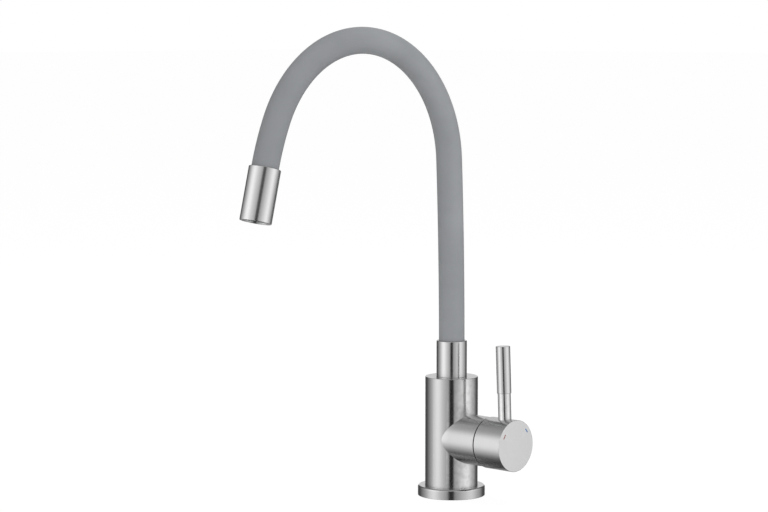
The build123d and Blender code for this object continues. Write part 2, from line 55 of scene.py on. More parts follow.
# Kitchen mixer tap with a side lever and a flexible hose spout. Lengths in the tables are in
# millimetres, like the drawings of such a tap, and MM turns them into metres.
MM = 0.001

# Foot and column; the gasket's groove is in the flange's underside
FLANGE_RADIUS = 29.0
FLANGE_BORE = 17.0
FLANGE_TOP = 8.7
GROOVE_INNER = 21.8
GROOVE_OUTER = 26.8
GROOVE_DEPTH = 1.8
COLUMN_FOOT = 3.0
COLUMN_RADIUS = 22.75
COLUMN_BORE = 20.75
COLUMN_TOP = 103.2
COLUMN_CAP = 5.0
SPOUT_SOCKET = 11.45
SCREW_BORE = 2.6

# Collar and hose
COLLAR_RADIUS = 13.1
COLLAR_FOOT = 103.3
COLLAR_TOP = 134.4
WASHER_TOP = 104.0
HOSE_SOCKET = 11.25
SLEEVE_BORE = 9.7
HOSE_LOW = 112.2
HOSE_RADIUS = 11.05
HOSE_BORE = 8.9
BENDS = 6

# Side arm and lever; x is measured from the column's axis
VALVE_HEIGHT = 50.6
ARM_RADIUS = 21.35
ARM_BORE = 19.35
SEAM_X = 43.5
PIVOT_X = 36.1
HUB_RADIUS = 22.0
HUB_REAR_X = 44.9
HUB_FACE_X = 73.4
HUB_HOLLOW = 23.6
BOSS_RADIUS = 8.0
BOSS_REAR_X = 46.1
SPINDLE_BORE = 5.6
SPINDLE_END_X = 63.7

# Stick, in heights above the hub's side; the stem has a thin stud at each end
STUD_RADIUS = 3.0
STUD_FOOT = -10.5
STUD_TOP = 33.6
STEM_RADIUS = 5.55
STEM_FOOT = -4.5
GRIP_RADIUS = 6.1
GRIP_SOCKET = 3.1
GRIP_SOCKET_TOP = 33.75
GRIP_START = 21.65
GRIP_TOP = 61.85

# Marks in the hub's face: half width, half length, and (distance from the centre, angle) of each
MARK_HALF_WIDTH = 0.5
MARK_HALF_LENGTH = 2.2
HOT_MARK = (17.3, 147.0)
COLD_MARK = (18.0, 41.0)

# Outlet, from its upper end: the hose's socket, then the bore, then the aerator's seat
OUTLET_RADIUS = 13.0
OUTLET_LENGTH = 43.8
OUTLET_SOCKET_DEPTH = 14.4
AERATOR_BORE = 11.3
AERATOR_SEAT_DEPTH = 32.0
SCREEN_DEPTH = 41.7

# Frames of the turned pieces: z runs along the piece's axis
UPRIGHT = Matrix.Identity(4)


def axis_frame(origin, x_dir, z_dir):
    """A frame from an origin in millimetres, its x direction and its z direction."""
    x_axis = Vector(x_dir).normalized()
    z_axis = Vector(z_dir).normalized()
    y_axis = z_axis.cross(x_axis)
    turned_to = Matrix((x_axis, y_axis, z_axis)).transposed().to_4x4()
    return Matrix.Translation(Vector(origin) * MM) @ turned_to


STICK_LEAN = math.radians(2.34)
STICK_AXIS = (-math.sin(STICK_LEAN), 0, math.cos(STICK_LEAN))
VALVE = axis_frame((0, 0, VALVE_HEIGHT), (0, 1, 0), (1, 0, 0))
STICK = axis_frame((60.9, 0, 72.6), (math.cos(STICK_LEAN), 0, math.sin(STICK_LEAN)), STICK_AXIS)
OUTLET = axis_frame((0, -220.211, 291.6455), (1, 0, 0), (0, -0.243615, -0.969872))
LOCK_SCREW = axis_frame((0, 0, 89.25), (1, 0, 0), (0, 1, 0))
PLUG = axis_frame((60.7, 0, VALVE_HEIGHT), (0, 1, 0), (0, 0, -1))


def new_object(name, data):
    """An object with its data, in the scene."""
    added = bpy.data.objects.new(name, data)
    bpy.context.scene.collection.objects.link(added)
    return added


# Camera: its lens in millimetres, its place in metres and the direction it looks in, and the
# direction it stands in, in degrees from -Y towards +X
FOCAL_LENGTH = 116.29
SENSOR_WIDTH = 36.0
CAMERA_PLACE = (1.4255, -1.5707, 0.4034)
CAMERA_LOOK = (-0.68920, 0.71867, -0.09220)
CAMERA_AZIMUTH = 42.23


def set_camera():
    """The photograph's viewpoint: a long lens, level with the top of the hose's arch."""
    lens = bpy.data.cameras.new("camera")
    lens.sensor_fit = "HORIZONTAL"
    lens.sensor_width = SENSOR_WIDTH
    lens.lens = FOCAL_LENGTH
    camera = new_object("camera", lens)
    camera.location = CAMERA_PLACE
    camera.rotation_euler = Vector(CAMERA_LOOK).to_track_quat("-Z", "Y").to_euler()
    bpy.context.scene.camera = camera


# Meshes
def plain_mesh(name, data):
    """A mesh from a bmesh, which is then freed."""
    mesh = bpy.data.meshes.new(name)
    data.to_mesh(mesh)
    data.free()
    return mesh


def finish_mesh(name, data):
    """A named object from a bmesh, with outward normals and smooth faces."""
    bmesh.ops.remove_doubles(data, verts=data.verts, dist=1e-7)
    bmesh.ops.recalc_face_normals(data, faces=data.faces)
    mesh = plain_mesh(name, data)
    for face in mesh.polygons:
        face.use_smooth = True
    return new_object(name, mesh)


def join_rings(data, ring, following):
    """Faces between two rings of points, with triangles where one ring is a single pole."""
    for index in range(len(ring)):
        after = (index + 1) % len(ring)
        corners = [ring[index], ring[after], following[after], following[index]]
        unique = list(dict.fromkeys(corners))
        if len(unique) > 2:
            data.faces.new(unique)


def rounded_corner(before, corner, after, edge):
    """Profile points of one corner, with its edge rounded and support points beside the arc."""
    if edge == 0:
        return [corner]
    inward = (before - corner).normalized()
    outward = (after - corner).normalized()
    half_angle = inward.angle(outward) / 2
    reach = min(edge / math.tan(half_angle), (before - corner).length / 2.2,
                (after - corner).length / 2.2)
    radius = reach * math.tan(half_angle)
    centre = corner + (inward + outward).normalized() * (radius / math.sin(half_angle))
    first = corner + inward * reach
    last = corner + outward * reach
    support = min(0.25, reach)
    points = [first + inward * min(support, (before - first).length / 3)]
    steps = 6 if edge > 0.35 else 4
    for step in range(steps + 1):
        spot = first.lerp(last, step / steps)
        points.append(centre + (spot - centre).normalized() * radius)
    points.append(last + outward * min(support, (after - last).length / 3))
    return points


def rounded_profile(corners):
    """A closed profile of (radius, height) points from (radius, height, edge) corners."""
    spots = [Vector((radius, height)) for radius, height, _ in corners]
    points = []
    for index, (_, _, edge) in enumerate(corners):
        before = spots[index - 1]
        after = spots[(index + 1) % len(spots)]
        points += rounded_corner(before, spots[index], after, edge)
    return points


def turned_piece(name, corners, place, around=192):
    """A piece turned about the z axis of its frame, from its profile's corners."""
    profile = rounded_profile(corners)
    data = bmesh.new()
    rings = []
    for radius, height in profile:
        if radius < 1e-6:
            pole = data.verts.new(place @ Vector((0, 0, height * MM)))
            rings.append([pole] * around)
            continue
        ring = []
        for index in range(around):
            angle = 2 * math.pi * index / around
            spot = Vector((radius * math.cos(angle), radius * math.sin(angle), height)) * MM
            ring.append(data.verts.new(place @ spot))
        rings.append(ring)
    for ring, following in zip(rings, rings[1:] + rings[:1]):
        join_rings(data, ring, following)
    return finish_mesh(name, data)


def cut_away(piece, *tools):
    """Cuts the tools' volumes out of a piece, and keeps sharp what is sharper than 30 degrees."""
    for tool in tools:
        modifier = piece.modifiers.new("cut", "BOOLEAN")
        modifier.operation = "DIFFERENCE"
        modifier.solver = "EXACT"
        modifier.object = tool
    keep_evaluated(piece)
    for tool in tools:
        bpy.data.objects.remove(tool)
    sharpen(piece)


def keep_evaluated(piece):
    """Turns a piece's modifiers into its plain mesh."""
    bpy.context.view_layer.update()
    evaluated = piece.evaluated_get(bpy.context.evaluated_depsgraph_get())
    mesh = bpy.data.meshes.new_from_object(evaluated)
    piece.modifiers.clear()
    piece.data = mesh
    mesh.name = piece.name


def sharpen(piece, angle=30):
    """Marks as sharp the edges whose faces meet at more than an angle in degrees."""
    piece.data.set_sharp_from_angle(angle=math.radians(angle))


def bore(place, radius, start, end, around=48):
    """A round bar between two heights of its frame, which only serves to cut a hole."""
    corners = [(0, start, 0), (radius, start, 0), (radius, end, 0), (0, end, 0)]
    return turned_piece("cutter", corners, place, around)


def side_arm_mesh():
    """The side arm's tube, whose near end follows the column as a saddle."""
    around = 192
    saddle = COLUMN_RADIUS - 0.05
    front = [(ARM_RADIUS, SEAM_X - 0.75), (ARM_RADIUS, SEAM_X - 0.3)]
    front += [
        (ARM_RADIUS - 0.25 * (1 - math.cos(turn)), SEAM_X - 0.25 * (1 - math.sin(turn)))
        for turn in (0, 0.39, 0.79, 1.18, math.pi / 2)
    ]
    front += [(ARM_RADIUS - 0.6, SEAM_X), (ARM_BORE + 0.2, SEAM_X), (ARM_BORE, SEAM_X - 0.2)]
    data = bmesh.new()
    lines = []
    for index in range(around):
        angle = 2 * math.pi * index / around
        outer, inner = (
            math.sqrt(saddle ** 2 - (radius * math.cos(angle)) ** 2)
            for radius in (ARM_RADIUS, ARM_BORE))
        line = [(ARM_RADIUS, outer), (ARM_RADIUS, outer + 0.4)]
        line += [(ARM_RADIUS, outer + (front[0][1] - outer) * share) for share in (0.25, 0.5, 0.75)]
        line += front + [(ARM_BORE, inner)]
        spots = [
            Vector((radius * math.cos(angle), radius * math.sin(angle), height)) * MM
            for radius, height in line
        ]
        lines.append([data.verts.new(VALVE @ spot) for spot in spots])
    for line, beside in zip(lines, lines[1:] + lines[:1]):
        join_rings(data, line, beside)
    return finish_mesh("side_arm_tube", data)


# Hose centreline, in millimetres: (length, radius) runs, with no radius where it is straight
HOSE_RUNS = [
    (13.5, None),
    (3500.0 * math.radians(2.7), 3500.0),
    (106.4 * math.radians(153.3), 106.4),
    (228.0 * math.radians(9.9), 228.0),
    (14.3, None),
]
HOSE_LENGTH = sum(length for length, _ in HOSE_RUNS)
ARCH_START = HOSE_RUNS[0][0] + HOSE_RUNS[1][0]
BEND_SPACING = HOSE_RUNS[2][0] / BENDS
BEND_MARGIN = 3.0


def hose_station(distance):
    """Reach, height and heading of the hose's centreline at a distance from its lower end."""
    reach, height, heading, left = 0.0, HOSE_LOW, 0.0, distance
    for length, radius in HOSE_RUNS:
        step = min(left, length)
        if radius is None:
            reach += step * math.sin(heading)
            height += step * math.cos(heading)
        else:
            turn = heading + step / radius
            reach += radius * (math.cos(heading) - math.cos(turn))
            height += radius * (math.sin(turn) - math.sin(heading))
            heading = turn
        left -= step
    return reach, height, heading


def hose_frame(distance):
    """The frame across the hose at a distance from its lower end."""
    reach, height, heading = hose_station(distance)
    return axis_frame((0, -reach, height), (1, 0, 0), (0, -math.sin(heading), math.cos(heading)))


def hose_piece(name, start, end, around=96):
    """A closed length of the silicone sleeve between two distances along the hose."""
    count = max(8, round((end - start) / 2.2))
    data = bmesh.new()
    walls = []
    for radius in (HOSE_RADIUS, HOSE_BORE):
        rings = []
        for step in range(count + 1):
            place = hose_frame(start + (end - start) * step / count)
            ring = []
            for index in range(around):
                angle = 2 * math.pi * index / around
                spot = Vector((math.cos(angle), math.sin(angle), 0)) * (radius * MM)
                ring.append(data.verts.new(place @ spot))
            rings.append(ring)
        walls.append(rings)
    outer, inner = walls
    for rings in walls:
        for ring, following in zip(rings, rings[1:]):
            join_rings(data, ring, following)
    join_rings(data, outer[0], inner[0])
    join_rings(data, outer[-1], inner[-1])
    piece = finish_mesh(name, data)
    sharpen(piece, 50)
    return piece


def mark_outline(half_width):
    """The outline of a dash with round ends, in the plane of the hub's face."""
    middle = MARK_HALF_LENGTH - MARK_HALF_WIDTH
    outline = []
    for end, first in ((1, 0.0), (-1, math.pi)):
        for step in range(9):
            turn = first + math.pi * step / 8
            outline.append((half_width * math.cos(turn),
                            end * middle + half_width * math.sin(turn)))
    return outline


def mark_layers(name, radius, angle, layers):
    """A closed piece at a mark's place in the hub's face, from (outline, height) layers."""
    place = VALVE @ Matrix.Rotation(math.radians(angle), 4, "Z")
    place = place @ Matrix.Translation(Vector((radius, 0, HUB_FACE_X)) * MM)
    data = bmesh.new()
    rings = [[data.verts.new(place @ (Vector((x, y, height)) * MM)) for x, y in outline]
             for outline, height in layers]
    for ring, following in zip(rings, rings[1:]):
        join_rings(data, ring, following)
    data.faces.new(rings[0])
    data.faces.new(rings[-1])
    return finish_mesh(name, data)


def enamel_mark(name, radius, angle):
    """A small enamelled dash in the hub's face, with a slightly rounded crown."""
    layers = []
    for share, height in ((1.0, -0.3), (1.0, -0.08), (0.94, -0.02), (0.8, 0.0)):
        inset = (1 - share) * MARK_HALF_WIDTH
        outline = [(x - inset * x / math.hypot(x, y), y - inset * y / math.hypot(x, y))
                   for x, y in mark_outline(MARK_HALF_WIDTH)]
        layers.append((outline, height))
    piece = mark_layers(name, radius, angle, layers)
    sharpen(piece, 60)
    return piece


def mark_cutter(radius, angle):
    """The pocket of an enamelled mark, a little larger than the mark."""
    outline = mark_outline(MARK_HALF_WIDTH + 0.04)
    return mark_layers("cutter", radius, angle, [(outline, -0.32), (outline, 1.0)])


# Nodes
FLOAT, VECTOR, GEOMETRY = "NodeSocketFloat", "NodeSocketVector", "NodeSocketGeometry"


def put(tree, kind, **values):
    """A node with its properties set, and its inputs linked or set by name or index."""
    node = tree.nodes.new(kind)
    inputs = values.pop("inputs", {})
    for name, value in values.items():
        setattr(node, name, value)
    for name, value in inputs.items():
        if isinstance(value, bpy.types.NodeSocket):
            tree.links.new(value, node.inputs[name])
        else:
            node.inputs[name].default_value = value
    return node


def maths(tree, operation, first, second=0.0, third=0.0):
    """One math node's result."""
    node = put(tree, "ShaderNodeMath", operation=operation, inputs={0: first, 1: second, 2: third})
    return node.outputs[0]


def span(tree, value, low, high, to_low, to_high):
    """A value mapped from one span to another, kept within it."""
    node = put(tree, "ShaderNodeMapRange", inputs={
        "Value": value, "From Min": low, "From Max": high, "To Min": to_low, "To Max": to_high})
    return node.outputs["Result"]


# Geometry Nodes: the honeycomb screen in the outlet's mouth, its sizes in metres
HONEYCOMB = {"Screen Radius": 0.0093, "Cell Pitch": 0.00215, "Wall": 0.00024, "Thickness": 0.0009}
CELLS_ACROSS = 10


def honeycomb_tree(material):
    """Geometry nodes for a round screen of small open cells inside a rim."""
    tree = bpy.data.node_groups.new("honeycomb screen", "GeometryNodeTree")
    tree.interface.new_socket("Geometry", in_out="INPUT", socket_type=GEOMETRY)
    for name, value in HONEYCOMB.items():
        tree.interface.new_socket(name, in_out="INPUT", socket_type=FLOAT).default_value = value
    tree.interface.new_socket("Geometry", in_out="OUTPUT", socket_type=GEOMETRY)
    sizes = tree.nodes.new("NodeGroupInput").outputs
    screen_radius, pitch = sizes["Screen Radius"], sizes["Cell Pitch"]

    # Rows of points, every other row moved half a cell, and none outside the rim
    row_step = maths(tree, "MULTIPLY", pitch, math.sqrt(3) / 2)
    grid = put(tree, "GeometryNodeMeshGrid", inputs={
        "Vertices X": CELLS_ACROSS + 1, "Vertices Y": CELLS_ACROSS + 1,
        "Size X": maths(tree, "MULTIPLY", pitch, CELLS_ACROSS),
        "Size Y": maths(tree, "MULTIPLY", row_step, CELLS_ACROSS)})
    position = put(tree, "GeometryNodeInputPosition").outputs[0]
    across = put(tree, "ShaderNodeSeparateXYZ", inputs={0: position}).outputs["Y"]
    row = maths(tree, "ROUND", maths(tree, "DIVIDE", across, row_step))
    odd = maths(tree, "MODULO", maths(tree, "ADD", row, CELLS_ACROSS), 2.0)
    slide = put(tree, "ShaderNodeCombineXYZ", inputs={
        "X": maths(tree, "MULTIPLY", maths(tree, "MULTIPLY", odd, 0.5), pitch)})
    shift = put(tree, "GeometryNodeSetPosition", inputs={
        "Geometry": grid.outputs["Mesh"], "Offset": slide.outputs[0]})
    far = put(tree, "ShaderNodeVectorMath", operation="LENGTH", inputs={0: position})
    limit = maths(tree, "SUBTRACT", screen_radius, maths(tree, "MULTIPLY", pitch, 0.62))
    outside = put(tree, "FunctionNodeCompare", data_type="FLOAT", operation="GREATER_THAN",
                  inputs={"A": far.outputs["Value"], "B": limit})
    drop = put(tree, "GeometryNodeDeleteGeometry", domain="POINT", inputs={
        "Geometry": shift.outputs["Geometry"], "Selection": outside.outputs["Result"]})

    def open_ring(radius, resolution):
        """A ring with a flat wall, at a radius and with a number of corners."""
        circle = put(tree, "GeometryNodeCurvePrimitiveCircle", inputs={
            "Resolution": resolution, "Radius": radius})
        wall = put(tree, "GeometryNodeCurvePrimitiveQuadrilateral", inputs={
            "Width": sizes["Wall"], "Height": sizes["Thickness"]})
        body = put(tree, "GeometryNodeCurveToMesh", inputs={
            "Curve": circle.outputs["Curve"], "Profile Curve": wall.outputs["Curve"]})
        return body.outputs["Mesh"]

    cells = put(tree, "GeometryNodeInstanceOnPoints", inputs={
        "Points": drop.outputs["Geometry"],
        "Instance": open_ring(maths(tree, "MULTIPLY", pitch, 0.5), 12)})
    join = put(tree, "GeometryNodeJoinGeometry", inputs={"Geometry": cells.outputs["Instances"]})
    rim = open_ring(maths(tree, "SUBTRACT", screen_radius, 0.00045), 96)
    tree.links.new(rim, join.inputs["Geometry"])
    realize = put(tree, "GeometryNodeRealizeInstances", inputs={
        "Geometry": join.outputs["Geometry"]})
    finish = put(tree, "GeometryNodeSetMaterial", inputs={
        "Geometry": realize.outputs["Geometry"], "Material": material})
    put(tree, "NodeGroupOutput", inputs={"Geometry": finish.outputs["Geometry"]})
    return tree


def aerator_screen(material):
    """The honeycomb screen, in its place inside the outlet's mouth."""
    piece = new_object("aerator_honeycomb", bpy.data.meshes.new("aerator_honeycomb"))
    tree = honeycomb_tree(material)
    modifier = piece.modifiers.new("honeycomb", "NODES")
    modifier.node_group = tree
    for item in tree.interface.items_tree:
        if item.name in HONEYCOMB:
            modifier[item.identifier] = HONEYCOMB[item.name]
    keep_evaluated(piece)
    piece.data.transform(OUTLET @ Matrix.Translation((0, 0, SCREEN_DEPTH * MM)))
    data = bmesh.new()
    data.from_mesh(piece.data)
    bmesh.ops.recalc_face_normals(data, faces=data.faces)
    data.to_mesh(piece.data)
    data.free()
    return piece


# Shader node groups
def new_group(name, inputs, outputs):
    """An empty shader node group with its named inputs and outputs."""
    group = bpy.data.node_groups.new(name, "ShaderNodeTree")
    for label, kind, value in inputs:
        item = group.interface.new_socket(label, in_out="INPUT", socket_type=kind)
        if value is not None:
            item.default_value = value
    for label, kind in outputs:
        group.interface.new_socket(label, in_out="OUTPUT", socket_type=kind)
    return group, group.nodes.new("NodeGroupInput"), group.nodes.new("NodeGroupOutput")


def turned_brush_group():
    """Fine brushing round a turned piece, from coordinates whose z is the piece's axis."""
    group, entry, result = new_group(
        "turned brush",
        [("Turned Coordinates", VECTOR, None), ("Lines per Metre", FLOAT, 3600.0)],
        [("Tint", FLOAT), ("Roughness Shift", FLOAT), ("Height", FLOAT)])
    parts = put(group, "ShaderNodeSeparateXYZ", inputs={0: entry.outputs["Turned Coordinates"]})
    x, y, z = parts.outputs
    radius = maths(group, "SQRT", maths(group, "ADD", maths(group, "MULTIPLY", x, x),
                                        maths(group, "MULTIPLY", y, y)))
    along = maths(group, "ADD", z, radius)
    lines = entry.outputs["Lines per Metre"]

    def grain(share, around, detail):
        """Noise drawn out round the axis, with a share of the lines per metre along it."""
        drawn_out = put(group, "ShaderNodeCombineXYZ", inputs={
            0: maths(group, "MULTIPLY", x, around), 1: maths(group, "MULTIPLY", y, around),
            2: maths(group, "MULTIPLY", along, maths(group, "MULTIPLY", lines, share))})
        noise = put(group, "ShaderNodeTexNoise", inputs={
            "Vector": drawn_out.outputs[0], "Scale": 1.0, "Detail": detail, "Roughness": 0.6})
        return noise.outputs["Fac"]

    fine = grain(1.0, 70.0, 3.0)
    middling = grain(0.22, 45.0, 2.0)
    broad = grain(0.05, 24.0, 2.0)
    mixed = maths(group, "ADD", maths(group, "MULTIPLY", fine, 0.5),
                  maths(group, "ADD", maths(group, "MULTIPLY", middling, 0.32),
                        maths(group, "MULTIPLY", broad, 0.18)))
    group.links.new(span(group, mixed, 0.3, 0.7, 0.0, 1.0), result.inputs["Tint"])
    group.links.new(span(group, middling, 0.3, 0.7, -0.012, 0.012),
                    result.inputs["Roughness Shift"])
    group.links.new(maths(group, "ADD", maths(group, "MULTIPLY", fine, 0.7),
                          maths(group, "MULTIPLY", middling, 0.3)), result.inputs["Height"])
    return group


def handling_group():
    """Faint smudges and spots of water and use, from a piece's own coordinates."""
    group, entry, result = new_group(
        "handling marks", [("Coordinates", VECTOR, None), ("Size", FLOAT, 0.03)], [("Mask", FLOAT)])
    scale = maths(group, "DIVIDE", 1.0, entry.outputs["Size"])
    smear = put(group, "ShaderNodeTexNoise", inputs={
        "Vector": entry.outputs["Coordinates"], "Scale": scale, "Detail": 4.0, "Roughness": 0.55,
        "Distortion": 0.6})
    group.links.new(span(group, smear.outputs["Fac"], 0.42, 0.68, 0.0, 1.0), result.inputs["Mask"])
    return group


def edge_wear_group():
    """Where the surface is an outer edge, rubbed brighter by cleaning."""
    group, entry, result = new_group(
        "edge wear", [("Coordinates", VECTOR, None), ("Sharpness", FLOAT, 0.53)], [("Mask", FLOAT)])
    shape = put(group, "ShaderNodeNewGeometry")
    edge = span(group, shape.outputs["Pointiness"], 0.505, entry.outputs["Sharpness"], 0.0, 1.0)
    broken = put(group, "ShaderNodeTexNoise", inputs={
        "Vector": entry.outputs["Coordinates"], "Scale": 260.0, "Detail": 3.0})
    group.links.new(maths(group, "MULTIPLY", edge,
                          span(group, broken.outputs["Fac"], 0.35, 0.6, 0.35, 1.0)),
                    result.inputs["Mask"])
    return group


def moulded_group():
    """The fine pebble of a moulded surface and its slow changes of tone."""
    group, entry, result = new_group(
        "moulded surface",
        [("Coordinates", VECTOR, None), ("Grain per Metre", FLOAT, 2600.0)],
        [("Tone", FLOAT), ("Roughness Shift", FLOAT), ("Height", FLOAT)])
    pebble = put(group, "ShaderNodeTexNoise", inputs={
        "Vector": entry.outputs["Coordinates"], "Scale": entry.outputs["Grain per Metre"],
        "Detail": 2.0, "Roughness": 0.5})
    slow = put(group, "ShaderNodeTexNoise", inputs={
        "Vector": entry.outputs["Coordinates"],
        "Scale": maths(group, "MULTIPLY", entry.outputs["Grain per Metre"], 0.02), "Detail": 3.0})
    tone = maths(group, "ADD", maths(group, "MULTIPLY", slow.outputs["Fac"], 0.75),
                 maths(group, "MULTIPLY", pebble.outputs["Fac"], 0.25))
    group.links.new(span(group, tone, 0.35, 0.65, 0.0, 1.0), result.inputs["Tone"])
    group.links.new(span(group, slow.outputs["Fac"], 0.35, 0.65, -0.05, 0.05),
                    result.inputs["Roughness Shift"])
    group.links.new(pebble.outputs["Fac"], result.inputs["Height"])
    return group


# Materials
def new_material(name):
    """A material with its principled shader, and the object's own coordinates."""
    material = bpy.data.materials.new(name)
    material.use_nodes = True
    tree = material.node_tree
    shader = tree.nodes["Principled BSDF"]
    coordinates = put(tree, "ShaderNodeTexCoord").outputs["Object"]
    return material, tree, shader, coordinates


def apply_group(tree, group, **inputs):
    """The outputs of a group node, its inputs linked or set by their names in small letters."""
    named = {}
    for socket in group.interface.items_tree:
        value = inputs.get(socket.name.lower().replace(" ", "_"))
        if socket.in_out == "INPUT" and value is not None:
            named[socket.name] = value
    return put(tree, "ShaderNodeGroup", node_tree=group, inputs=named).outputs


def blend_colours(tree, factor, first, second):
    """Two colours mixed by a factor."""
    mix = put(tree, "ShaderNodeMix", data_type="RGBA")
    tree.links.new(factor, mix.inputs["Factor"])
    colours = [socket for socket in mix.inputs if socket.type == "RGBA"]
    for socket, value in zip(colours, (first, second)):
        if isinstance(value, bpy.types.NodeSocket):
            tree.links.new(value, socket)
        else:
            socket.default_value = (*value, 1.0)
    return next(socket for socket in mix.outputs if socket.type == "RGBA")


def bump(tree, shader, height, strength, distance):
    """A bump from a height, into the shader's normal."""
    node = put(tree, "ShaderNodeBump", inputs={
        "Strength": strength, "Distance": distance, "Height": height})
    tree.links.new(node.outputs["Normal"], shader.inputs["Normal"])


def steel_base(name, place, tones, roughness, grain):
    """Satin stainless steel with its brushing, smudges and rubbed edges, but no direction yet."""
    material, tree, shader, coordinates = new_material(name)
    turned = put(tree, "ShaderNodeMapping", vector_type="TEXTURE", inputs={
        "Vector": coordinates, "Location": place.to_translation(),
        "Rotation": place.to_euler()}).outputs[0]
    lines = apply_group(tree, BRUSH, turned_coordinates=turned)
    touched = apply_group(tree, SMUDGES, coordinates=coordinates, size=0.035)
    rubbed = apply_group(tree, WEAR, coordinates=coordinates)
    dark, light = tones
    steel = blend_colours(tree, lines["Tint"], (dark, dark, dark), (light, light, light))
    steel = blend_colours(tree, maths(tree, "MULTIPLY", touched["Mask"], 0.04), steel,
                          (0.50, 0.50, 0.50))
    steel = blend_colours(tree, maths(tree, "MULTIPLY", rubbed["Mask"], 0.5), steel,
                          (0.78, 0.78, 0.78))
    tree.links.new(steel, shader.inputs["Base Color"])
    shifted = maths(tree, "ADD", lines["Roughness Shift"], roughness)
    shifted = maths(tree, "ADD", shifted, maths(tree, "MULTIPLY", touched["Mask"], 0.006))
    shifted = maths(tree, "SUBTRACT", shifted,
                    maths(tree, "MULTIPLY", rubbed["Mask"], 0.04))
    tree.links.new(shifted, shader.inputs["Roughness"])
    shader.inputs["Metallic"].default_value = 1.0
    bump(tree, shader, lines["Height"], grain, 0.00002)
    return material, tree, shader


def brushed_steel(name, place, shade):
    """The sides of a turned piece, whose highlights spread along its axis; its colours are scaled
    by a shade factor, as painted light and shade.
    """
    material, tree, shader = steel_base(
        name, place, (0.612 * shade, 0.630 * shade), 0.255, 0.015)
    shader.inputs["Anisotropic"].default_value = 0.88
    axis = place.to_3x3() @ Vector((0, 0, 1))
    spread = put(tree, "ShaderNodeVectorTransform", vector_type="VECTOR", convert_from="OBJECT",
                 convert_to="WORLD", inputs={0: axis})
    tree.links.new(spread.outputs[0], shader.inputs["Tangent"])
    return material


def satin_end(name, place, shade):
    """The flat ends of a turned piece, with an even satin; their colour is lighter than the sides'
    and scaled by the shade factor, as painted light.
    """
    return steel_base(name, place, (0.715 * shade, 0.765 * shade), 0.26, 0.02)[0]


def finish_steel(piece, place, sides, ends):
    """Steel on a turned piece: one finish on its sides and another on its flat ends."""
    axis = place.to_3x3() @ Vector((0, 0, 1))
    paint(sides, piece)
    piece.data.materials.append(ends)
    for face in piece.data.polygons:
        face.material_index = 1 if abs(face.normal.dot(axis)) > 0.95 else 0


def plain_metal(name, dark, light, roughness):
    """Turned or pressed metal inside the tap, with its tool marks and handling."""
    material, tree, shader, coordinates = new_material(name)
    turning = put(tree, "ShaderNodeTexNoise", inputs={
        "Vector": coordinates, "Scale": 900.0, "Detail": 4.0, "Roughness": 0.6})
    touched = apply_group(tree, SMUDGES, coordinates=coordinates, size=0.012)
    rubbed = apply_group(tree, WEAR, coordinates=coordinates)
    colour = blend_colours(tree, turning.outputs["Fac"], dark, light)
    dulled = maths(tree, "MULTIPLY", touched["Mask"], 0.25)
    polished = maths(tree, "MULTIPLY", rubbed["Mask"], 0.4)
    colour = blend_colours(tree, dulled, colour, dark)
    colour = blend_colours(tree, polished, colour, light)
    tree.links.new(colour, shader.inputs["Base Color"])
    tree.links.new(maths(tree, "ADD", maths(tree, "MULTIPLY", touched["Mask"], 0.08),
                         roughness), shader.inputs["Roughness"])
    shader.inputs["Metallic"].default_value = 1.0
    bump(tree, shader, turning.outputs["Fac"], 0.15, 0.00003)
    return material


def coil_metal(name):
    """The gooseneck's interlocked strip, wound in narrow turns."""
    material, tree, shader, coordinates = new_material(name)
    winding = put(tree, "ShaderNodeTexWave", wave_type="BANDS", bands_direction="DIAGONAL", inputs={
        "Vector": coordinates, "Scale": 55.0, "Distortion": 0.4, "Detail": 1.0})
    rubbed = apply_group(tree, WEAR, coordinates=coordinates)
    colour = blend_colours(tree, winding.outputs["Fac"], (0.36, 0.36, 0.37), (0.58, 0.58, 0.59))
    colour = blend_colours(tree, maths(tree, "MULTIPLY", rubbed["Mask"], 0.4), colour,
                           (0.7, 0.7, 0.7))
    tree.links.new(colour, shader.inputs["Base Color"])
    tree.links.new(span(tree, winding.outputs["Fac"], 0.0, 1.0, 0.42, 0.30),
                   shader.inputs["Roughness"])
    shader.inputs["Metallic"].default_value = 1.0
    bump(tree, shader, winding.outputs["Fac"], 0.5, 0.0004)
    return material


def moulded(name, dark, light, roughness, grain=2600.0, strength=0.15, specular=0.5):
    """A moulded or cast plastic, rubber, silicone or ceramic surface."""
    material, tree, shader, coordinates = new_material(name)
    skin = apply_group(tree, SURFACE, coordinates=coordinates, grain_per_metre=grain)
    colour = blend_colours(tree, skin["Tone"], dark, light)
    tree.links.new(colour, shader.inputs["Base Color"])
    tree.links.new(maths(tree, "ADD", skin["Roughness Shift"], roughness),
                   shader.inputs["Roughness"])
    shader.inputs["Specular IOR Level"].default_value = specular
    bump(tree, shader, skin["Height"], strength, 0.00004)
    return material


def hose_silicone(name):
    """The hose's matte silicone, with painted shade that makes it a little darker towards the
    outlet.
    """
    material = moulded(name, (0.254, 0.264, 0.276), (0.290, 0.300, 0.313), 0.62,
                       grain=1800.0, strength=0.25, specular=0.35)
    tree = material.node_tree
    shader = tree.nodes["Principled BSDF"]
    unshaded_colour = shader.inputs["Base Color"].links[0].from_socket
    coordinates = put(tree, "ShaderNodeTexCoord").outputs["Object"]
    # Painted shade: the colour darkens towards the outlet's limb of the arch, in place of the shade
    # there.
    reach = put(tree, "ShaderNodeSeparateXYZ", inputs={0: coordinates}).outputs["Y"]
    painted_outlet_shade = span(tree, reach, -0.150, -0.085, 0.5, 0.0)
    colour = blend_colours(tree, painted_outlet_shade, unshaded_colour, (0.196, 0.203, 0.213))
    tree.links.new(colour, shader.inputs["Base Color"])
    return material


def enamel(name, dark, light):
    """Glossy coloured enamel."""
    material = moulded(name, dark, light, 0.3, grain=4000.0, strength=0.05)
    shader = material.node_tree.nodes["Principled BSDF"]
    shader.inputs["Coat Weight"].default_value = 0.4
    shader.inputs["Coat Roughness"].default_value = 0.12
    return material


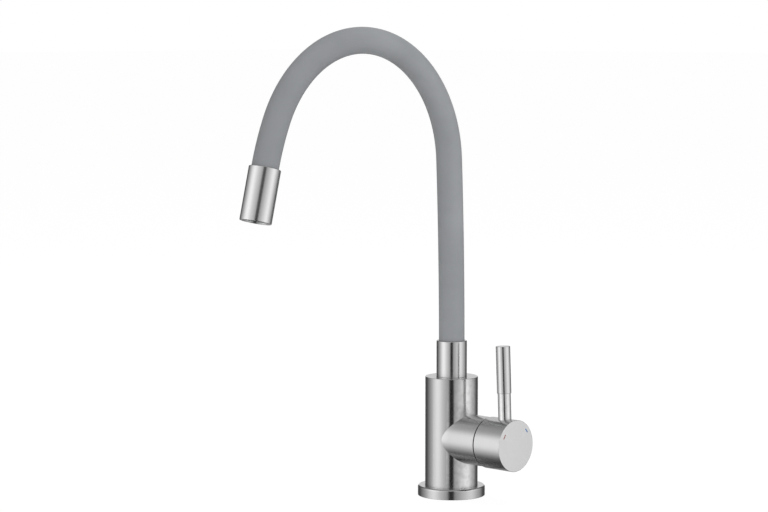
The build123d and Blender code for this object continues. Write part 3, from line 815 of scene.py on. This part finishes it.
def paint(material, *pieces):
    """Gives pieces, or the CAD nodes named, one material."""
    for piece in pieces:
        target = frame["nodes"][piece] if isinstance(piece, str) else piece
        target.data.materials.clear()
        target.data.materials.append(material)


# Stage: floor, studio screen, lamps and world
def studio_screen_material():
    """What the metal sees round it: two wide soft boxes, a narrow dark gap and a dark back."""
    material = bpy.data.materials.new("studio_screen")
    material.use_nodes = True
    tree = material.node_tree
    tree.nodes.clear()
    coordinates = put(tree, "ShaderNodeTexCoord").outputs["Object"]
    parts = put(tree, "ShaderNodeSeparateXYZ", inputs={0: coordinates})
    across, depth, height = parts.outputs
    azimuth = maths(tree, "ARCTAN2", across, maths(tree, "MULTIPLY", depth, -1.0))
    degrees = maths(tree, "DEGREES", azimuth)
    level = maths(tree, "SQRT", maths(tree, "ADD", maths(tree, "MULTIPLY", across, across),
                                      maths(tree, "MULTIPLY", depth, depth)))
    elevation = maths(tree, "DEGREES", maths(tree, "ARCTAN2", height, level))

    def ramp(value, low, high, stops):
        """Greys that follow a value, from (value, shade) stops."""
        position = span(tree, value, low, high, 0.0, 1.0)
        node = put(tree, "ShaderNodeValToRGB", inputs={0: position})
        elements = node.color_ramp.elements
        while len(elements) > 1:
            elements.remove(elements[-1])
        for index, (place, shade) in enumerate(stops):
            share = (place - low) / (high - low)
            element = elements[0] if index == 0 else elements.new(share)
            element.position = share
            element.color = (shade, shade, shade, 1.0)
        return node.outputs["Color"]

    bands = ramp(degrees, -180.0, 180.0, [
        (-180, 0.80), (-169, 0.80), (-163, 0.10), (-134, 0.10), (-115, 0.38), (-100, 0.64),
        (-88, 0.98), (-76, 1.36), (-66, 1.56), (-56, 1.50), (-45, 1.22), (-36, 1.00), (-27, 0.85),
        (-17, 0.64), (-11.5, 0.50), (-8.6, 0.01), (7.8, 0.01), (10.5, 0.46), (17, 0.58), (26, 0.70),
        (35, 0.87), (45, 1.03), (60, 1.26), (74, 1.32), (84, 1.10), (100, 0.75), (114, 0.55),
        (127, 0.25), (135, 0.10), (163, 0.10), (169, 0.80), (180, 0.80)])
    ceiling = ramp(degrees, -180.0, 180.0, [
        (-180, 0.80), (-169, 0.80), (-163, 0.13), (-145, 0.13), (-105, 0.46), (105, 0.46),
        (145, 0.13), (163, 0.13), (169, 0.80), (180, 0.80)])
    above = ramp(elevation, -90.0, 90.0, [(-1, 0.0), (1, 1.0)])
    caps = blend_colours(tree, above, (0.08, 0.08, 0.08), ceiling)
    share = ramp(elevation, -90.0, 90.0, [
        (-90, 1.0), (-55, 1.0), (-46, 0.86), (-39, 0.66), (-35, 0.56), (-27, 0.37), (-20, 0.20),
        (-12, 0.05), (0, 0.0), (20, 0.0), (31, 0.40), (41, 0.80), (50, 1.0)])
    seen = blend_colours(tree, share, bands, caps)
    glow = put(tree, "ShaderNodeEmission", inputs={0: seen, 1: 1.0})
    output = put(tree, "ShaderNodeOutputMaterial")
    tree.links.new(glow.outputs[0], output.inputs["Surface"])
    return material


def studio_screen():
    """A round screen about the tap, seen only by what shines, its zero towards the camera."""
    data = bmesh.new()
    bmesh.ops.create_uvsphere(data, u_segments=96, v_segments=48, radius=1.5)
    mesh = plain_mesh("studio_screen", data)
    screen = new_object("studio_screen", mesh)
    screen.location = (0, 0, 0.08)
    screen.rotation_euler = (0, 0, math.radians(CAMERA_AZIMUTH))
    mesh.materials.append(studio_screen_material())
    screen.visible_camera = False
    screen.visible_diffuse = False
    screen.visible_transmission = False
    screen.visible_volume_scatter = False
    screen.visible_shadow = False


def floor():
    """The pale floor that the tap stands on, white to the camera but for a faint shadow."""
    data = bmesh.new()
    bmesh.ops.create_grid(data, x_segments=2, y_segments=2, size=30.0)
    mesh = plain_mesh("floor", data)
    plane = new_object("floor", mesh)
    material = bpy.data.materials.new("floor")
    material.use_nodes = True
    tree = material.node_tree
    shader = tree.nodes["Principled BSDF"]
    shader.inputs["Base Color"].default_value = (0.86, 0.86, 0.86, 1.0)
    shader.inputs["Roughness"].default_value = 0.9
    shader.inputs["Specular IOR Level"].default_value = 0.0
    paths = put(tree, "ShaderNodeLightPath")
    white = put(tree, "ShaderNodeEmission", inputs={0: (1.0, 1.0, 1.0, 1.0), 1: 1.04})
    partly = put(tree, "ShaderNodeMixShader", inputs={0: 0.90})
    tree.links.new(shader.outputs[0], partly.inputs[1])
    tree.links.new(white.outputs[0], partly.inputs[2])
    final = put(tree, "ShaderNodeMixShader", inputs={0: paths.outputs["Is Camera Ray"]})
    tree.links.new(shader.outputs[0], final.inputs[1])
    tree.links.new(partly.outputs[0], final.inputs[2])
    tree.links.new(final.outputs[0], tree.nodes["Material Output"].inputs["Surface"])
    mesh.materials.append(material)
    plane.visible_glossy = False


def lamp(name, place, size, power):
    """A soft square lamp, aimed at the tap, that metal doesn't mirror."""
    light = bpy.data.lights.new(name, "AREA")
    light.shape = "SQUARE"
    light.size = size
    light.energy = power
    lamp_object = new_object(name, light)
    lamp_object.location = place
    aim = Vector((0, -0.1, 0.2)) - Vector(place)
    lamp_object.rotation_euler = aim.to_track_quat("-Z", "Y").to_euler()
    lamp_object.visible_glossy = False
    lamp_object.visible_camera = False


def world():
    """A white studio to the camera and to what shines, and a softer one for light."""
    world_data = bpy.data.worlds.new("studio")
    bpy.context.scene.world = world_data
    world_data.use_nodes = True
    tree = world_data.node_tree
    tree.nodes.clear()
    paths = put(tree, "ShaderNodeLightPath")
    seen = maths(tree, "MAXIMUM", paths.outputs["Is Camera Ray"],
                 maths(tree, "MAXIMUM", paths.outputs["Is Glossy Ray"],
                       paths.outputs["Is Transmission Ray"]))
    strength = span(tree, seen, 0.0, 1.0, 0.62, 1.0)
    background = put(tree, "ShaderNodeBackground", inputs={0: (1.0, 1.0, 1.0, 1.0), 1: strength})
    output = put(tree, "ShaderNodeOutputWorld")
    tree.links.new(background.outputs[0], output.inputs["Surface"])


set_camera()
bpy.context.scene.view_settings.view_transform = "Standard"
world()
floor()
studio_screen()
lamp("front_left_lamp", (0.2, -2.2, 1.6), 1.4, 9.0)
lamp("front_right_lamp", (2.4, -0.2, 1.4), 1.4, 25.0)
lamp("top_lamp", (-0.3, 0.3, 2.4), 1.6, 14.0)

BRUSH = turned_brush_group()
SMUDGES = handling_group()
WEAR = edge_wear_group()
SURFACE = moulded_group()

# One steel in lighter and darker copies, one for each group of pieces, by the shade factor listed
# with each: painted light and shade.
steel = {
    label: (place, brushed_steel(f"brushed_steel_{label}", place, shade),
            satin_end(f"satin_end_{label}", place, shade))
    for label, place, shade in (
        ("column", UPRIGHT, 0.87), ("collar", UPRIGHT, 1.0), ("valve", VALVE, 1.02),
        ("stick", STICK, 1.0), ("outlet", OUTLET, 1.08))
}
bright_steel = plain_metal("bright_steel", (0.60, 0.60, 0.61), (0.76, 0.77, 0.78), 0.16)
brass = plain_metal("brass", (0.62, 0.46, 0.22), (0.78, 0.62, 0.34), 0.28)
coil_steel = coil_metal("coil_steel")
silicone = hose_silicone("silicone_grey")
milky_tube = moulded("milky_tube", (0.78, 0.78, 0.75), (0.88, 0.88, 0.86), 0.42)
rubber = moulded("seal_rubber", (0.014, 0.014, 0.014), (0.028, 0.028, 0.029), 0.6)
white_plastic = moulded("white_plastic", (0.76, 0.76, 0.74), (0.86, 0.86, 0.84), 0.45)
grey_plastic = moulded("grey_plastic", (0.29, 0.30, 0.32), (0.38, 0.39, 0.41), 0.5)
# Near black for the dome ring: painted shade for the dark line of the seam.
black_plastic = moulded("black_plastic", (0.018, 0.018, 0.019), (0.034, 0.034, 0.036), 0.5)
ceramic = moulded("lapped_ceramic", (0.84, 0.83, 0.79), (0.91, 0.90, 0.87), 0.22,
                  grain=5200.0, strength=0.04)
hot_enamel = enamel("hot_enamel", (0.22, 0.03, 0.025), (0.30, 0.045, 0.035))
cold_enamel = enamel("cold_enamel", (0.05, 0.13, 0.33), (0.08, 0.20, 0.46))

# Foot flange
flange = turned_piece("flange", [
    (FLANGE_RADIUS, 0.0, 0.25), (FLANGE_RADIUS, FLANGE_TOP, 1.6),
    (COLUMN_RADIUS + 0.1, FLANGE_TOP, 0.15), (COLUMN_RADIUS + 0.1, COLUMN_FOOT, 0),
    (FLANGE_BORE, COLUMN_FOOT, 0.2), (FLANGE_BORE, 0.0, 0.2),
    (GROOVE_INNER, 0.0, 0), (GROOVE_INNER, GROOVE_DEPTH, 0),
    (GROOVE_OUTER, GROOVE_DEPTH, 0), (GROOVE_OUTER, 0.0, 0)], UPRIGHT)
sharpen(flange)
finish_steel(flange, *steel["column"])

# Column with its closed top
column = turned_piece("column", [
    (COLUMN_RADIUS, COLUMN_FOOT, 0.2), (COLUMN_RADIUS, COLUMN_TOP, 0.5),
    (SPOUT_SOCKET, COLUMN_TOP, 0.25), (SPOUT_SOCKET, COLUMN_TOP - COLUMN_CAP, 0.1),
    (COLUMN_BORE, COLUMN_TOP - COLUMN_CAP, 0), (COLUMN_BORE, COLUMN_FOOT, 0)], UPRIGHT)
cut_away(column, bore(LOCK_SCREW, SCREW_BORE, 18.0, 24.0), bore(VALVE, ARM_BORE, 6.0, 24.0, 96))
finish_steel(column, *steel["column"])

arm = side_arm_mesh()
sharpen(arm)
finish_steel(arm, *steel["valve"])

# Collar that the hose stands in, with a thin skirt round the washer that it turns on
collar = turned_piece("collar", [
    (COLLAR_RADIUS, COLLAR_FOOT, 0.1), (COLLAR_RADIUS, COLLAR_TOP, 1.1),
    (HOSE_SOCKET, COLLAR_TOP, 0.2), (HOSE_SOCKET, HOSE_LOW - 0.2, 0),
    (SLEEVE_BORE, HOSE_LOW - 0.2, 0), (SLEEVE_BORE, WASHER_TOP, 0.1),
    (COLLAR_RADIUS - 0.25, WASHER_TOP, 0), (COLLAR_RADIUS - 0.25, COLLAR_FOOT, 0)], UPRIGHT)
sharpen(collar)
finish_steel(collar, *steel["collar"])

# Lever hub: its rear is hollowed as part of a ball about the tilt pin
hollow = [
    (HUB_HOLLOW * math.sin(turn), PIVOT_X + HUB_HOLLOW * math.cos(turn), 0)
    for turn in (0.347, 0.45, 0.60, 0.75, 0.90, 1.05, 1.16)
]
hub = turned_piece("hub", [
    (HUB_RADIUS, HUB_REAR_X, 0.3), (HUB_RADIUS, HUB_FACE_X, 0.4), (0, HUB_FACE_X, 0),
    (0, SPINDLE_END_X, 0), (SPINDLE_BORE, SPINDLE_END_X, 0), (SPINDLE_BORE, BOSS_REAR_X, 0),
    (BOSS_RADIUS, BOSS_REAR_X, 0)] + hollow, VALVE)
cut_away(hub, bore(PLUG, SCREW_BORE, 10.0, 22.5), mark_cutter(*HOT_MARK), mark_cutter(*COLD_MARK))
finish_steel(hub, *steel["valve"])
hot = enamel_mark("hot_dash", *HOT_MARK)
paint(hot_enamel, hot)
cold = enamel_mark("cold_dash", *COLD_MARK)
paint(cold_enamel, cold)

# Lever stick
stem = turned_piece("stick_stem", [
    (0, STUD_FOOT, 0), (STUD_RADIUS, STUD_FOOT, 0.2), (STUD_RADIUS, STEM_FOOT, 0),
    (STEM_RADIUS, STEM_FOOT, 0.2), (STEM_RADIUS, GRIP_START, 0), (STUD_RADIUS, GRIP_START, 0),
    (STUD_RADIUS, STUD_TOP, 0.2), (0, STUD_TOP, 0)], STICK, 96)
sharpen(stem)
finish_steel(stem, *steel["stick"])
grip = turned_piece("stick_grip", [
    (0, GRIP_TOP, 0), (0, GRIP_SOCKET_TOP, 0), (GRIP_SOCKET, GRIP_SOCKET_TOP, 0),
    (GRIP_SOCKET, GRIP_START, 0.1),
    (GRIP_RADIUS, GRIP_START, 0.5), (GRIP_RADIUS, GRIP_TOP, 0.5)], STICK, 96)
sharpen(grip)
finish_steel(grip, *steel["stick"])

# Outlet sleeve and its screen
outlet = turned_piece("outlet", [
    (HOSE_SOCKET, 0.0, 0.2), (OUTLET_RADIUS, 0.0, 0.6), (OUTLET_RADIUS, OUTLET_LENGTH, 0.6),
    (AERATOR_BORE, OUTLET_LENGTH, 0.2), (AERATOR_BORE, AERATOR_SEAT_DEPTH, 0),
    (SLEEVE_BORE, AERATOR_SEAT_DEPTH, 0), (SLEEVE_BORE, OUTLET_SOCKET_DEPTH, 0),
    (HOSE_SOCKET, OUTLET_SOCKET_DEPTH, 0)], OUTLET)
sharpen(outlet)
finish_steel(outlet, *steel["outlet"])
screen = aerator_screen(bright_steel)
sharpen(screen)

# Hose sleeve, one length at each bend
bends = [ARCH_START + BEND_SPACING * (index + 0.5) for index in range(BENDS)]
limits = [0.0] + [ARCH_START + BEND_SPACING * index for index in range(1, BENDS)] + [HOSE_LENGTH]
hose_lengths = []
for index in range(BENDS):
    length = hose_piece(f"hose_length_{index + 1}", limits[index], limits[index + 1])
    paint(silicone, length)
    hose_lengths.append(length)

# CAD pieces that keep their own meshes
# The dome ring is painted near black so that the seam between the arm and the hub shows dark:
# painted shade in place of the groove's shadow.
paint(black_plastic, "dome_ring")
paint(bright_steel, "pivot_pin", "spout_lock_screw", "hub_set_screw", "spindle", "aerator_housing")
paint(brass, "waterway_block", "cartridge_cup", "cartridge_nut", "spout_stem", "outlet_nipple")
paint(coil_steel, "lower_ferrule", "upper_ferrule", *[f"gooseneck_{k}" for k in range(BENDS + 1)])
paint(milky_tube, *[f"water_tube_{k}" for k in range(BENDS + 1)])
paint(rubber, "deck_gasket", "port_seals", "rotor_seal", "spout_o_rings", "aerator_washer")
paint(white_plastic, "slip_washer", "disc_carrier", "aerator_insert")
paint(grey_plastic, "cartridge_base", "cartridge_housing", "cartridge_rotor", "set_screw_plug")
paint(ceramic, "fixed_ceramic_disc", "moving_ceramic_disc")

# Bodies, nodes and slots of the new pieces
for piece, body, node, finish in (
        (flange, "tap_body", "base_flange", "brushed_steel"),
        (column, "tap_body", "column_tube", "brushed_steel"),
        (arm, "tap_body", "side_arm", "brushed_steel"),
        (collar, "spout_base", "spout_collar", "brushed_steel"),
        (hub, "lever", "lever_hub", "brushed_steel"),
        (stem, "lever", "lever_stem", "brushed_steel"),
        (grip, "lever", "lever_grip", "brushed_steel"),
        (hot, "lever", "hot_mark", "hot_red"),
        (cold, "lever", "cold_mark", "cold_blue"),
        (outlet, "hose_6", "outlet_sleeve", "brushed_steel"),
        (screen, "hose_6", "aerator_screen", "polished_steel")):
    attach(piece, body)
    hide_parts(node)

for index, length in enumerate(hose_lengths):
    reach = BEND_SPACING / 2 - BEND_MARGIN
    start = hose_frame(bends[index] - reach).to_translation()
    end = hose_frame(bends[index] + reach).to_translation()
    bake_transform(length)
    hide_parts(f"hose_sleeve_{index}", f"hose_sleeve_{index + 1}")
